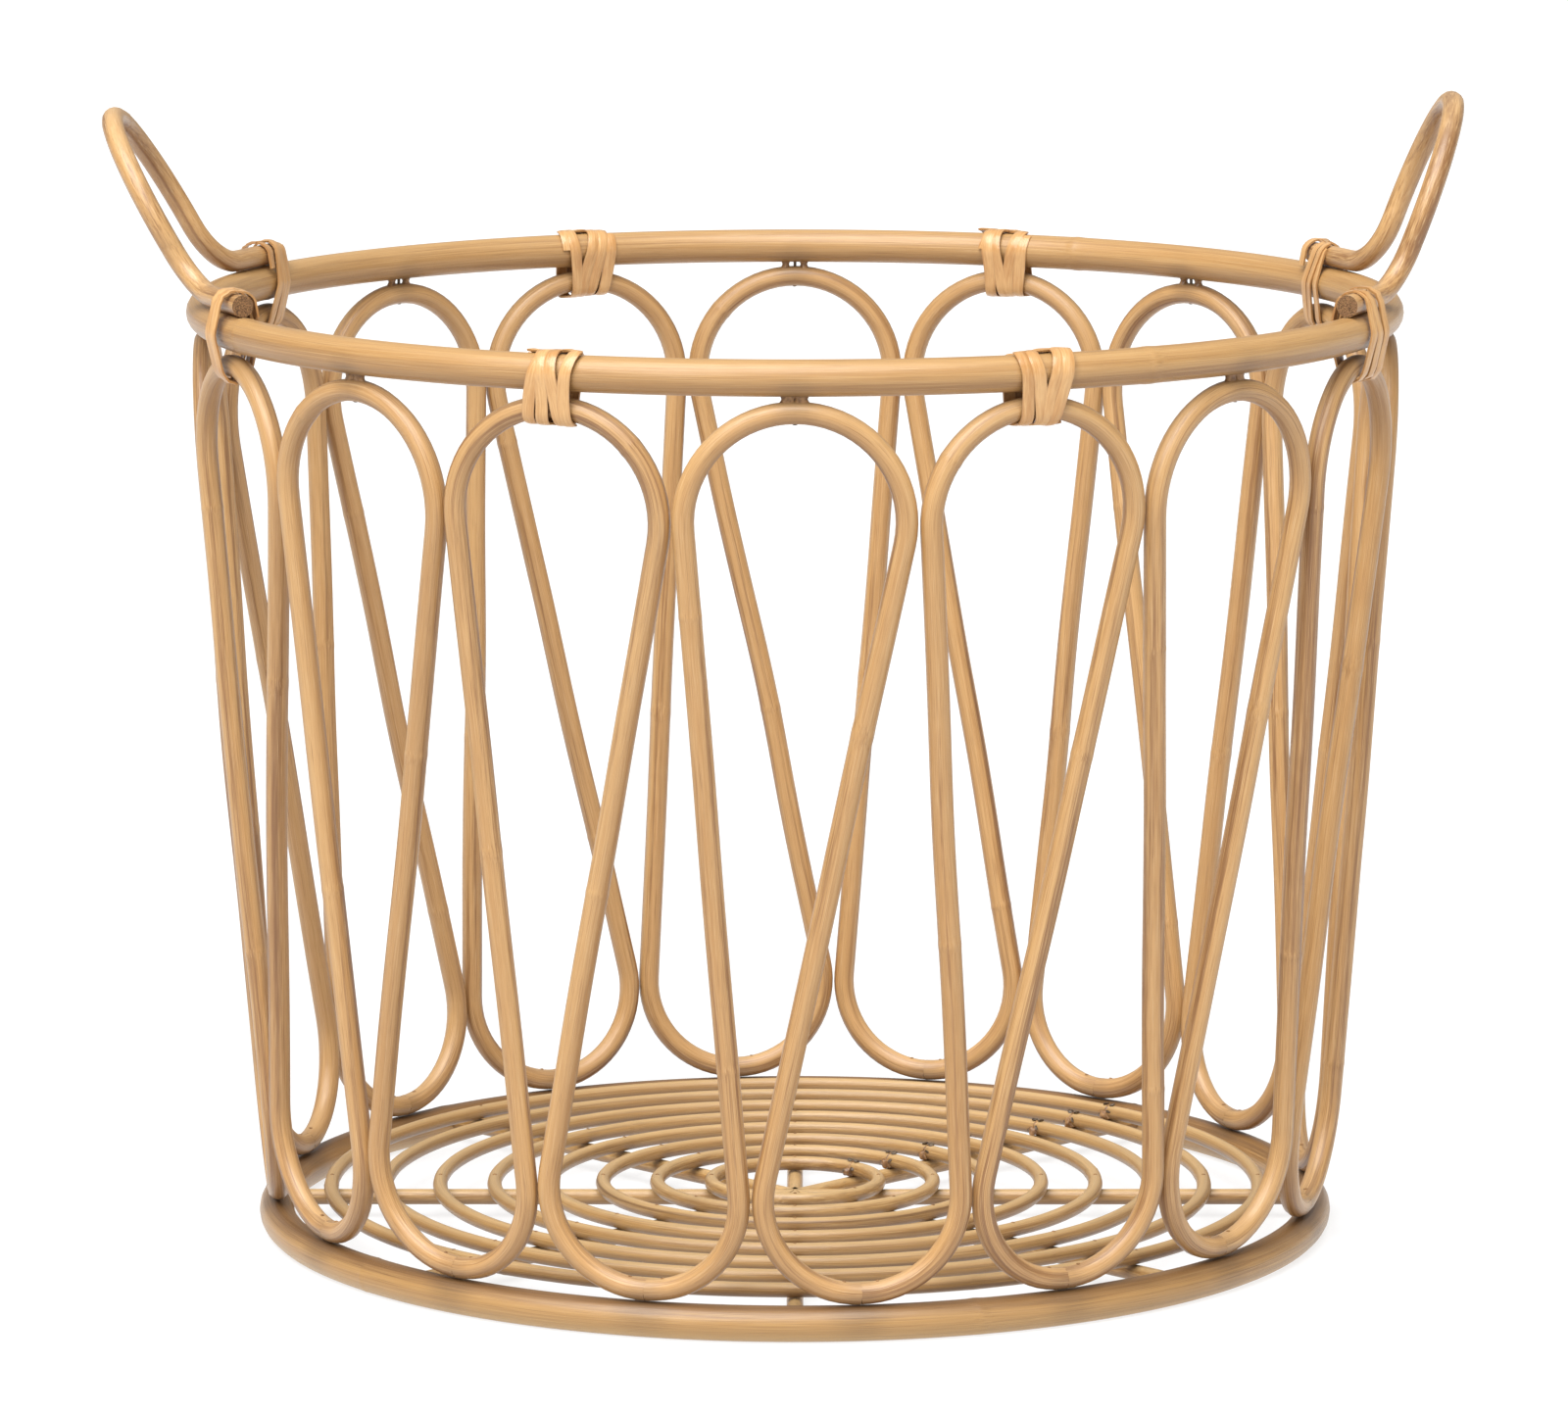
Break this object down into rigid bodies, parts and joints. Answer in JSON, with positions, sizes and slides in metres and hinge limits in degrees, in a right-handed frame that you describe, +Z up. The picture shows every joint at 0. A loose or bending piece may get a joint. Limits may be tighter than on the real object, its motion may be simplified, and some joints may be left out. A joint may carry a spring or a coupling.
{
  "type": "open cane storage basket",
  "caption": "Round open basket of bent cane hairpins between two hoops, with a ringed floor and two lashed handles.",
  "frame": {"origin": "on the floor under the middle of the basket", "axes": "+Z up, +X towards the right handle, -Y towards the front"},
  "size_m": [0.505, 0.45, 0.421],
  "materials": {
    "hoop_cane": "satin varnished cane",
    "side_cane": "satin varnished cane",
    "floor_cane": "satin varnished cane",
    "handle_cane": "satin varnished cane",
    "peel": "glossy flat cane peel",
    "nail": "dull wire nail",
    "glue": "dried wood glue"
  },
  "bodies": {
    "root": {"rim_hoop": "hoop_cane", "base_hoop": "hoop_cane", "cross_bar": "floor_cane", "handle_left": "handle_cane", "handle_right": "handle_cane", "rim_nails": "nail", "rim_glue": "glue", "foot_nails": "nail", "ring_nails": "nail", "ring_glue": "glue", "spoke_nails": "nail", "side_cane_1": "side_cane", "side_cane_2": "side_cane", "side_cane_3": "side_cane", "side_cane_4": "side_cane", "side_cane_5": "side_cane", "side_cane_6": "side_cane", "side_cane_7": "side_cane", "side_cane_8": "side_cane", "side_cane_9": "side_cane", "side_cane_10": "side_cane", "side_cane_11": "side_cane", "side_cane_12": "side_cane", "side_cane_13": "side_cane", "side_cane_14": "side_cane", "side_cane_15": "side_cane", "side_cane_16": "side_cane", "base_ring_1": "floor_cane", "base_ring_2": "floor_cane", "base_ring_3": "floor_cane", "base_ring_4": "floor_cane", "base_ring_5": "floor_cane", "base_ring_6": "floor_cane", "base_ring_7": "floor_cane", "base_ring_8": "floor_cane", "spoke_1": "floor_cane", "spoke_2": "floor_cane", "spoke_3": "floor_cane", "spoke_4": "floor_cane", "spoke_5": "floor_cane", "spoke_6": "floor_cane", "rim_binding_1": "peel", "rim_binding_2": "peel", "rim_binding_3": "peel", "rim_binding_4": "peel", "handle_binding_1": "peel", "handle_binding_2": "peel", "handle_binding_3": "peel", "handle_binding_4": "peel"}
  },
  "joints": []
}
